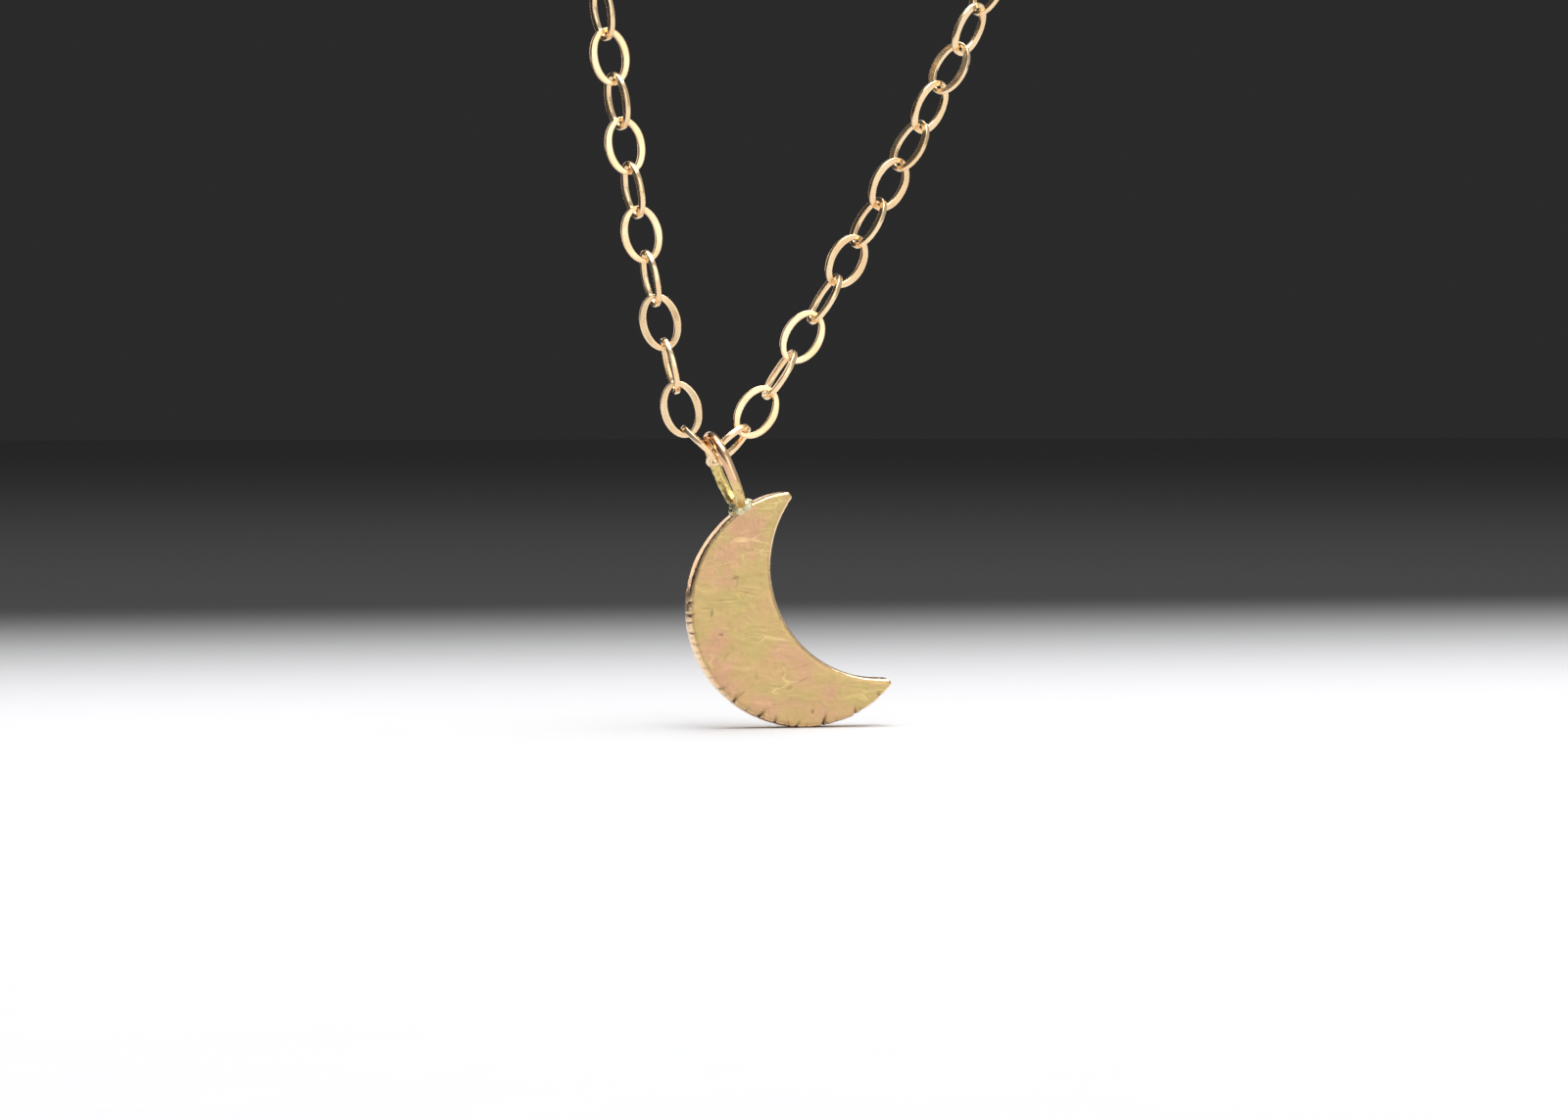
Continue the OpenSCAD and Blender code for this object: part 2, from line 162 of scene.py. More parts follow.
class ShaderBench(NodeBench):
    """Builds one material's nodes, all placed by the object's own coordinates."""

    def __init__(self, name: str, centre: Vector | None = None) -> None:
        """Starts a material with one principled surface.

        Args:
            name: The material's name.
            centre: The point that its patterns are laid out from.
        """
        self.material = bpy.data.materials.new(name)
        super().__init__(self.material)
        self.surface = self.nodes["Principled BSDF"]
        coordinates = self.nodes.new("ShaderNodeTexCoord")
        self.place = coordinates.outputs["Object"]
        self.normal = coordinates.outputs["Normal"]
        if centre is not None:
            self.place = self.node("ShaderNodeMapping", {"Vector": self.place, "Location": -centre})

    def grain(
        self,
        scale: float,
        detail: float = 3.0,
        stretch: Triple = (1.0, 1.0, 1.0),
        turn: Triple = (0.0, 0.0, 0.0),
    ) -> Socket:
        """A noise pattern from 0 to 1.

        Args:
            scale: Features in a metre.
            detail: Octaves of finer noise.
            stretch: Scale along each axis, below 1 to draw the pattern out.
            turn: Turn of the pattern in radians.

        Returns:
            The noise value.
        """
        placed = self.node("ShaderNodeMapping", {"Vector": self.place, "Rotation": turn, "Scale": stretch})
        inputs = {"Vector": placed, "Scale": scale, "Detail": detail, "Roughness": NOISE_ROUGHNESS}
        return self.node("ShaderNodeTexNoise", inputs)

    def patchy(
        self,
        scale: float,
        low: float,
        high: float,
        to_low: float = 0.0,
        to_high: float = 1.0,
        detail: float = 3.0,
    ) -> Socket:
        """Soft patches: the grain of a scale and detail, with its low to high spread over another span."""
        return self.span(self.grain(scale, detail), low, high, to_low, to_high)

    def sum_up(self, how: str, first: object, second: object) -> Socket:
        """One arithmetic step on two values."""
        return self.node("ShaderNodeMath", {0: first, 1: second}, operation=how)

    def times(self, first: object, second: object) -> Socket:
        """The product of two values."""
        return self.sum_up("MULTIPLY", first, second)

    def blend(self, share: object, first: object, second: object) -> Socket:
        """Mixes two colours or colour sockets, where share is how much of the second shows."""
        full = [(*c, 1.0) if isinstance(c, tuple) else c for c in (first, second)]
        return self.node("ShaderNodeMix", {0: share, 6: full[0], 7: full[1]}, output=2, data_type="RGBA")

    def spot(self, centre: Triple, radius: float, soft: float, ragged: Socket) -> Socket:
        """A soft-edged patch round a point.

        Args:
            centre: The patch's centre.
            radius: Its radius to the middle of its soft edge.
            soft: Half the width of the soft edge.
            ragged: A noise value that makes the edge uneven.

        Returns:
            1 inside and 0 outside.
        """
        away = self.node(
            "ShaderNodeVectorMath", {0: self.place, 1: centre}, output="Value", operation="DISTANCE"
        )
        uneven = self.sum_up("ADD", away, self.span(ragged, 0.3, 0.7, -soft, soft))
        return self.span(uneven, radius - soft, radius + soft, 1.0, 0.0)

    def scratches(self, scale: float, stretch: Triple, turn: Triple, width: float) -> Socket:
        """Fine drawn-out lines where noise crosses its middle, 1 on a line and 0 off it."""
        swirl = self.sum_up("SUBTRACT", self.grain(scale, 1.0, stretch, turn), 0.5)
        return self.span(self.sum_up("ABSOLUTE", swirl, 0.0), 0.0, width, 1.0, 0.0)

    def relief(self, height: Socket, depth: float, strength: float, under: Socket | None = None) -> Socket:
        """Bump from a height pattern.

        Args:
            height: The pattern.
            depth: Its full height in metres.
            strength: How strongly it shows.
            under: A bump below this one.

        Returns:
            The normal.
        """
        inputs: dict[str | int, object] = {"Height": height, "Distance": depth, "Strength": strength}
        if under is not None:
            inputs["Normal"] = under
        return self.node("ShaderNodeBump", inputs)

    def finish(self, colour: Socket, roughness: Socket, normal: Socket, metallic: float = 1.0) -> Material:
        """Connects the surface.

        Args:
            colour: Its colour.
            roughness: Its roughness.
            normal: Its bump.
            metallic: 1 for metal.

        Returns:
            The finished material.
        """
        for name, value in (("Base Color", colour), ("Roughness", roughness), ("Normal", normal)):
            self.feed(self.surface.inputs[name], value)
        self.surface.inputs["Metallic"].default_value = metallic
        return self.material


@dataclass(frozen=True)
class PolishedWire:
    """Bright metal wire with faint tone patches, drawn lines and handling marks."""

    name: str
    pale: Colour
    warm: Colour
    smooth: float
    worn: float
    mark_depth: float = 0.002 * MM

    def material(self) -> Material:
        """Makes the material.

        Returns:
            The wire's metal.
        """
        bench = ShaderBench(self.name)
        colour = bench.blend(bench.patchy(850.0, 0.35, 0.65, detail=2.0), self.pale, self.warm)
        flecks = bench.patchy(4500.0, 0.6, 0.8, detail=2.0)
        colour = bench.blend(bench.times(flecks, 0.25), colour, tuple(0.55 * c for c in self.warm))
        lines = bench.scratches(2600.0, (1.0, 1.0, 0.22), (0.4, 0.3, 0.2), 0.012)
        handled = bench.patchy(1400.0, 0.35, 0.7, self.smooth, self.worn, detail=2.0)
        rough = bench.sum_up("ADD", handled, bench.times(lines, 0.06))
        dents = bench.relief(bench.grain(900.0, 1.0), 3 * self.mark_depth, 0.4)
        return bench.finish(colour, rough, bench.relief(lines, self.mark_depth, 0.12, dents))


@dataclass(frozen=True)
class SatinCrescent:
    """Hand-finished gold sheet: satin faces with rose bloom, and a polished rim that is painted paler as a painted
    highlight, with painted shade in its cuts.
    """

    centre: Triple
    name: str = "satin_crescent_gold"
    yellow: Colour = (0.61, 0.41, 0.195)
    green: Colour = (0.55, 0.425, 0.172)
    # Paler colour of the polished rim: partly the rim's polish, partly a painted highlight on the rounded edges.
    rose: Colour = (0.62, 0.365, 0.22)
    rim: Colour = (0.96, 0.68, 0.40)
    # Painted shade colour laid into the rim cuts and front dents.
    painted_cut_shade: Colour = (0.10, 0.045, 0.02)
    scratch: Colour = (0.95, 0.74, 0.36)
    face_depth: float = -0.5 * MM
    patch_edge: float = 0.6 * MM
    # Across, up and radius of each patch in millimetres.
    rose_patches: tuple[Triple, ...] = (
        (-2.35, 2.9, 0.8),
        (-3.4, 1.95, 0.75),
        (-3.7, -1.5, 0.6),
        (-3.15, -2.7, 0.65),
        (-1.3, -3.9, 0.6),
        (0.75, -3.65, 0.5),
        (-0.5, -2.1, 0.55),
    )
    green_patches: tuple[Triple, ...] = (
        (0.0, -3.1, 0.7),
        (-1.2, 3.0, 0.6),
        (-3.3, 0.45, 0.7),
        (-1.9, -0.9, 0.6),
    )

    def patches(self, bench: ShaderBench, places: Iterable[Triple], ragged: Socket) -> Socket:
        """Joins several soft patches into one mask.

        Args:
            bench: The material under way.
            places: Across, up and radius of each patch in millimetres from the sheet's centre.
            ragged: Noise for the edges.

        Returns:
            The mask.
        """
        mask: object = 0.0
        for across, up, radius in places:
            place = (across * MM, self.face_depth, up * MM)
            patch = bench.spot(place, radius * MM, self.patch_edge, ragged)
            mask = bench.sum_up("MAXIMUM", mask, patch)
        return mask

    def material(self) -> Material:
        """Makes the material.

        Returns:
            The crescent's gold.
        """
        bench = ShaderBench(self.name, Vector(self.centre))
        ragged = bench.grain(1300.0, 4.0)
        face = bench.blend(bench.patchy(900.0, 0.35, 0.68, detail=5.0), self.yellow, self.green)
        tones = ((self.green_patches, 0.6, self.green), (self.rose_patches, 0.9, self.rose))
        for places, share, tone in tones:
            face = bench.blend(bench.times(self.patches(bench, places, ragged), share), face, tone)
        cloud = bench.patchy(5200.0, 0.5, 0.8, detail=4.0)
        face = bench.blend(bench.times(cloud, 0.3), face, tuple(0.62 * c for c in self.yellow))
        level = bench.scratches(1500.0, (0.28, 1.0, 1.0), (0.0, 0.12, 0.0), 0.012)
        slant = bench.scratches(1900.0, (0.3, 1.0, 1.0), (0.0, 0.75, 0.0), 0.009)
        upright = bench.scratches(2200.0, (1.0, 1.0, 0.3), (0.0, 0.2, 0.0), 0.008)
        lines = bench.sum_up("MAXIMUM", bench.sum_up("MAXIMUM", level, slant), upright)
        lines = bench.times(lines, bench.patchy(500.0, 0.42, 0.62, detail=1.0))
        face = bench.blend(bench.times(lines, 0.35), face, self.scratch)
        # Surfaces turned away from the face, the rounded rim and walls, take the paler rim colour as a painted
        # highlight; the polish itself comes from the roughness mix below.
        facing = bench.node("ShaderNodeSeparateXYZ", {0: bench.normal}, output="Y")
        edge = bench.span(bench.sum_up("ABSOLUTE", facing, 0.0), 0.72, 0.995, 1.0, 0.0)
        # Painted shade in the cuts and dents, read from the vertex layer that the crescent's build fills from
        # cut_at.
        cut_shade_mask = bench.node("ShaderNodeAttribute", {}, output="Fac", attribute_name="cut")
        colour = bench.blend(bench.times(cut_shade_mask, 0.92), bench.blend(edge, face, self.rim), self.painted_cut_shade)
        satin = bench.patchy(2600.0, 0.3, 0.7, 0.3, 0.44)
        polish = bench.patchy(3500.0, 0.3, 0.7, 0.14, 0.3)
        rough = bench.node("ShaderNodeMix", {0: edge, 2: satin, 3: polish})
        wrinkles = bench.scratches(1250.0, (0.6, 1.0, 1.1), (0.0, 0.45, 0.0), 0.09)
        swell = bench.grain(1300.0, 3.0, (0.7, 1.0, 1.25), (0.0, 0.2, 0.0))
        waves = bench.relief(swell, 0.05 * MM, 0.65, bench.relief(wrinkles, 0.009 * MM, 0.5))
        tooth = bench.relief(bench.grain(4500.0, 5.0), 0.014 * MM, 0.6, waves)
        return bench.finish(colour, rough, bench.relief(lines, 0.006 * MM, 0.7, tooth))


@dataclass(frozen=True)
class BailWire:
    """Polished rose-gold wire in front, and rough yellow where solder ran behind."""

    name: str = "bail_wire_gold"
    rose: Colour = (0.72, 0.40, 0.23)
    pale: Colour = (0.83, 0.56, 0.33)
    yellow: Colour = (0.78, 0.62, 0.24)
    pit: Colour = (0.28, 0.17, 0.05)

    def material(self) -> Material:
        """Makes the material.

        Returns:
            The bail's gold.
        """
        bench = ShaderBench(self.name)
        back = bench.node("ShaderNodeAttribute", {}, output="Fac", attribute_name="rough_back")
        front = bench.blend(bench.patchy(900.0, 0.35, 0.65, detail=2.0), self.rose, self.pale)
        behind = bench.blend(bench.times(bench.patchy(5200.0, 0.56, 0.7), 0.7), self.yellow, self.pit)
        shine = bench.patchy(3000.0, 0.3, 0.7, 0.12, 0.24)
        matte = bench.patchy(4200.0, 0.3, 0.7, 0.28, 0.5)
        rough = bench.node("ShaderNodeMix", {0: back, 2: shine, 3: matte})
        lumps = bench.relief(bench.times(bench.grain(3800.0, 4.0), back), 0.07 * MM, 0.8)
        worn = bench.relief(bench.grain(2600.0, 2.0), 0.008 * MM, 0.5, lumps)
        return bench.finish(bench.blend(back, front, behind), rough, worn)


@dataclass(frozen=True)
class SolderSeam:
    """Pale greenish solder, lightly pitted."""

    name: str = "pale_solder"
    pale: Colour = (0.80, 0.76, 0.52)
    dull: Colour = (0.50, 0.44, 0.24)

    def material(self) -> Material:
        """Makes the material.

        Returns:
            The solder.
        """
        bench = ShaderBench(self.name)
        colour = bench.blend(bench.patchy(2500.0, 0.4, 0.7, detail=4.0), self.pale, self.dull)
        rough = bench.patchy(3600.0, 0.3, 0.7, 0.24, 0.46)
        return bench.finish(colour, rough, bench.relief(bench.grain(3000.0, 4.0), 0.04 * MM, 0.6))


@dataclass(frozen=True)
class PalePaper:
    """The plain pale floor, painted darker towards the back until it is near black behind the necklace: painted
    shade.
    """

    middle: Vector
    name: str = "pale_floor"
    tone: Colour = (0.80, 0.80, 0.81)
    painted_far_shade: Colour = (0.055, 0.055, 0.055)
    fade: tuple[float, float] = (0.005, 0.11)

    def material(self) -> Material:
        """Makes the material.

        Returns:
            The floor's paper.
        """
        bench = ShaderBench(self.name, self.middle)
        away = bench.node("ShaderNodeSeparateXYZ", {0: bench.place}, output="Y")
        paper = bench.blend(bench.grain(300.0, 4.0), self.tone, tuple(0.97 * c for c in self.tone))
        # Painted shade: the paper's colour fades to near black with distance towards the back.
        colour = bench.blend(bench.span(away, *self.fade), paper, self.painted_far_shade)
        bench.surface.inputs["Specular IOR Level"].default_value = 0.0
        rough = bench.patchy(900.0, 0.3, 0.7, 0.85, 0.95)
        return bench.finish(colour, rough, bench.relief(bench.grain(4000.0), 0.004 * MM, 0.4), metallic=0.0)


# ---- shared shaping


def body_of_node(node: str) -> str:
    """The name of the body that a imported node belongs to."""
    bodies = frame["record"]["behaviour"]["bodies"]
    return next(body for body, members in bodies.items() if node in members)


def joint_called(name: str) -> dict:
    """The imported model's own data on a joint."""
    return next(joint for joint in frame["joints"] if joint["name"] == name)


def box_centre(node: str) -> Vector:
    """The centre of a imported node's box."""
    low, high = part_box(node)
    return (low + high) / 2


def crescent_centre() -> Vector:
    """The centre of the crescent's outer circle, halfway through its sheet."""
    low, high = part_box("crescent")
    return Vector((low.x + CrescentCharm.outer, (low.y + high.y) / 2, low.z + CrescentCharm.outer))


def as_object(name: str, shape: Shape, material: Material) -> bpy.types.Object:
    """Puts a shape into the scene and frees it.

    Args:
        name: The object's name.
        shape: The shape.
        material: Its material.

    Returns:
        The object.
    """
    mesh = bpy.data.meshes.new(name)
    shape.to_mesh(mesh)
    shape.free()
    mesh.materials.append(material)
    made = bpy.data.objects.new(name, mesh)
    bpy.context.scene.collection.objects.link(made)
    return made


def smooth_all(piece: bpy.types.Object) -> None:
    """Shades every face of a piece smooth."""
    piece.data.polygons.foreach_set("use_smooth", [True] * len(piece.data.polygons))


def add_piece(
    name: str,
    shape: Shape,
    nodes: Iterable[str],
    material: Material,
    place: Matrix | None = None,
) -> None:
    """Turns a finished shape into a piece that rides on the body of the nodes it stands for.

    Args:
        name: The piece's name.
        shape: Its shape, which is freed.
        nodes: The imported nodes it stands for, or for a trim piece the node it sits on, after "on:".
        material: Its material.
        place: Where the shape's own frame lies. It goes into the mesh, so the piece stays at the origin.
    """
    if place is not None:
        ops.transform(shape, matrix=place, verts=shape.verts)
    ops.recalc_face_normals(shape, faces=shape.faces)
    piece = as_object(name, shape, material)
    smooth_all(piece)
    names = list(nodes)
    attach(piece, body_of_node(names[0].removeprefix("on:")))
    stood_for = [n for n in names if not n.startswith("on:")]
    if stood_for:
        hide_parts(*stood_for)


def held(value: float) -> float:
    """The value, held between 0 and 1."""
    return min(1.0, max(0.0, value))


def only(items: Iterable[object], kind: type) -> list:
    """The items of one kind."""
    return [item for item in items if isinstance(item, kind)]


def hump(value: float) -> float:
    """A smooth hump that is 1 at 0 and falls away on both sides."""
    return exp(-(value**2))


def soften(shape: Shape, edges: Edges, size: float, segments: int) -> None:
    """Rounds edges with a bevel of a size, in a number of segments."""
    ops.bevel(
        shape,
        geom=edges,
        offset=size,
        offset_type="OFFSET",
        segments=segments,
        profile=0.5,
        affect="EDGES",
        material=-1,
        clamp_overlap=True,
    )


def corners(edges: Edges) -> list[Vert]:
    """The vertices at the ends of some edges."""
    return list({vertex for edge in edges for vertex in edge.verts})


def lumpy(point: Vector, feature: float, seed: float = 0.0) -> float:
    """Smooth noise from -1 to 1 with features of a size, where another seed picks another pattern."""
    return noise.noise(point / feature + Vector((seed, 1.7 * seed, -seed)))


def round_bar(shape: Shape, radius: float, sides: int, at: Vector) -> Edges:
    """Starts a wire: a circle that stands in the XZ plane.

    Args:
        shape: Where the circle goes.
        radius: The wire's radius.
        sides: Vertices round it.
        at: Its centre.

    Returns:
        The circle's edges.
    """
    ring = ops.create_circle(shape, cap_ends=False, segments=sides, radius=radius)
    upright = Matrix.Translation(at) @ Matrix.Rotation(pi / 2, 4, "X")
    ops.transform(shape, matrix=upright, verts=ring["verts"])
    return list({edge for vertex in ring["verts"] for edge in vertex.link_edges})


def sweep(
    shape: Shape, edges: Edges, angle: float, steps: int, full: bool = False, centre: Vector = ORIGIN
) -> Edges:
    """Spins edges about an axis along Z.

    Args:
        shape: The shape.
        edges: What is spun.
        angle: How far, in radians.
        steps: In how many steps.
        full: Joins the last step to the first.
        centre: Where the axis is.

    Returns:
        The edges at the end.
    """
    spun = ops.spin(
        shape,
        geom=edges,
        cent=centre,
        axis=(0.0, 0.0, 1.0),
        dvec=ORIGIN,
        angle=angle,
        steps=steps,
        use_merge=full,
        use_normal_flip=False,
        use_duplicate=False,
    )
    return only(spun["geom_last"], Edge)


def wire_ring(
    radius: float, wire: float, steps: int = 96, sides: int = 20, seam: float = 0.0
) -> Shape:
    """A closed ring of round wire in the XY plane, slightly uneven and with a groove at its closed cut.

    Args:
        radius: Radius to the wire's middle.
        wire: The wire's radius.
        steps: Segments round the ring.
        sides: Segments round the wire.
        seam: Direction of the closed cut.

    Returns:
        The shape.
    """
    shape = bmesh.new()
    sweep(shape, round_bar(shape, wire, sides, Vector((radius, 0.0, 0.0))), 2 * pi, steps, full=True)
    ops.remove_doubles(shape, verts=shape.verts, dist=wire * 0.001)
    groove, groove_share, uneven_share = 0.35 * wire, 0.14, 0.012
    for vertex in shape.verts:
        turn = atan2(vertex.co.y, vertex.co.x)
        middle = Vector((radius * cos(turn), radius * sin(turn), 0.0))
        apart = abs(remainder(turn - seam, 2 * pi)) * radius
        squeeze = 1.0 - groove_share * hump(apart / groove) + uneven_share * lumpy(vertex.co, 0.5 * MM)
        vertex.co = middle + (vertex.co - middle) * squeeze
    return shape


# ---- the chain


@dataclass
class CableChain:
    """The flat cable chain: every link is a loose oval ring of flattened wire."""

    gold: Material
    length: float = 2.2 * MM
    width: float = 1.56 * MM
    thickness: float = 0.2 * MM
    side_band: float = 0.28 * MM
    end_band: float = 0.185 * MM
    edge_round: float = 0.045 * MM
    point_share: float = 1.12
    uneven: float = 0.005 * MM
    uneven_width: float = 0.01
    wander_size: float = 0.55 * MM
    templates: dict[LinkDetail, bpy.types.Mesh] = field(default_factory=dict)

    def loop(self, shape: Shape, sides: int, half_length: float, half_width: float, point: float) -> Edges:
        """Adds an oval loop of edges.

        Args:
            shape: Where it goes.
            sides: Its segments.
            half_length: Half its length along X.
            half_width: Half its width along Y.
            point: Above 1 draws its ends towards points.

        Returns:
            The loop's edges.
        """
        ring = ops.create_circle(shape, cap_ends=False, segments=sides, radius=1.0)["verts"]
        for vertex in ring:
            across = copysign(abs(vertex.co.y) ** point, vertex.co.y)
            vertex.co = Vector((half_length * vertex.co.x, half_width * across, 0.0))
        return list({edge for vertex in ring for edge in vertex.link_edges})

    def template(self, detail: LinkDetail) -> bpy.types.Mesh:
        """One link in its own frame: long along X, its face along Z.

        Args:
            detail: How finely it is made.

        Returns:
            The link's mesh.
        """
        if detail in self.templates:
            return self.templates[detail]
        sides, round_steps = detail.value
        shape = bmesh.new()
        half_length, half_width = self.length / 2, self.width / 2
        outer = self.loop(shape, sides, half_length, half_width, 1.0)
        hole = (half_length - self.end_band, half_width - self.side_band)
        inner = self.loop(shape, sides, *hole, self.point_share)
        face = ops.bridge_loops(shape, edges=outer + inner)["faces"]
        grown = ops.extrude_face_region(shape, geom=face)["geom"]
        top = only(grown, Vert)
        ops.translate(shape, verts=top, vec=(0.0, 0.0, self.thickness))
        ops.translate(shape, verts=shape.verts, vec=(0.0, 0.0, -self.thickness / 2))
        flat = [f for f in shape.faces if abs(f.normal.z) > 0.5]
        rims = list({e for f in flat for e in f.edges if any(abs(g.normal.z) < 0.5 for g in e.link_faces)})
        soften(shape, rims, self.edge_round, round_steps)
        flat = [f for f in shape.faces if abs(f.normal.z) > 0.999]
        ops.inset_region(shape, faces=flat, thickness=0.15 * self.edge_round, depth=0.0)
        mesh = bpy.data.meshes.new(f"link_{detail.name.lower()}")
        ops.recalc_face_normals(shape, faces=shape.faces)
        shape.to_mesh(mesh)
        shape.free()
        self.templates[detail] = mesh
        return mesh

    def seats(self, node: str) -> list[Matrix]:
        """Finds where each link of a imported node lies.

        Args:
            node: The node's name.

        Returns:
            One matrix for each link: X along it and Z out of its face.
        """
        shape = bmesh.new()
        shape.from_mesh(frame["nodes"][node].data)
        ops.remove_doubles(shape, verts=shape.verts, dist=0.0005 * MM)
        seen: set[Vert] = set()
        found = []
        for start in shape.verts:
            if start in seen:
                continue
            seen.add(start)
            island, waiting = [], [start]
            while waiting:
                vertex = waiting.pop()
                island.append(vertex.co.copy())
                for edge in vertex.link_edges:
                    other = edge.other_vert(vertex)
                    if other not in seen:
                        seen.add(other)
                        waiting.append(other)
            found.append(self.seat_of(np.array(island, float)))
        shape.free()
        return found

    @staticmethod
    def seat_of(points: np.ndarray) -> Matrix:
        """The frame of one link from its corners.

        Args:
            points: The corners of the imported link.

        Returns:
            Its frame.
        """
        middle = points.mean(axis=0)
        axes = np.linalg.eigh(np.cov((points - middle).T))[1]
        along, face = Vector(axes[:, 2]), Vector(axes[:, 0])
        if along.z < 0.0 or (abs(along.z) < 1e-6 and along.x < 0.0):
            along.negate()
        if face.y > 0.0:
            face.negate()
        across = face.cross(along)
        seat = Matrix((along, across, face)).transposed().to_4x4()
        seat.translation = Vector(middle)
        return seat

    def run(self, name: str, node: str, detail: LinkDetail) -> None:
        """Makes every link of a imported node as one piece.

        Args:
            name: The piece's name.
            node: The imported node.
            detail: How finely the links are made.
        """
        uneven = self.uneven * (1.5 if detail is LinkDetail.CLOSE else 1.0)
        shape = bmesh.new()
        for seat in self.seats(node):
            before = set(shape.verts)
            shape.from_mesh(self.template(detail))
            link = [v for v in shape.verts if v not in before]
            seed = (seat.translation.x + 1.3 * seat.translation.z) / MM
            for vertex in link:
                wander = lumpy(vertex.co, self.wander_size, seed)
                vertex.co.z += uneven * wander
                vertex.co.y *= 1.0 + self.uneven_width * wander
            ops.transform(shape, matrix=seat, verts=link)
        add_piece(name, shape, [node], self.gold)

    def build(self) -> None:
        """Makes the single links, the chain lengths and the chain round the neck."""
        for node in frame["nodes"]:
            if "_link_" in node:
                self.run(f"flat_{node}", node, LinkDetail.CLOSE)
            elif "_chain" in node:
                self.run(f"cable_{node}", node, LinkDetail.DISTANT)


# ---- the pendant


@dataclass(frozen=True)
class Mark:
    """A cut or dent in the crescent's front, in millimetres from its centre and degrees."""

    across: float
    up: float
    long: float
    wide: float
    deep: float
    turn: float = 0.0


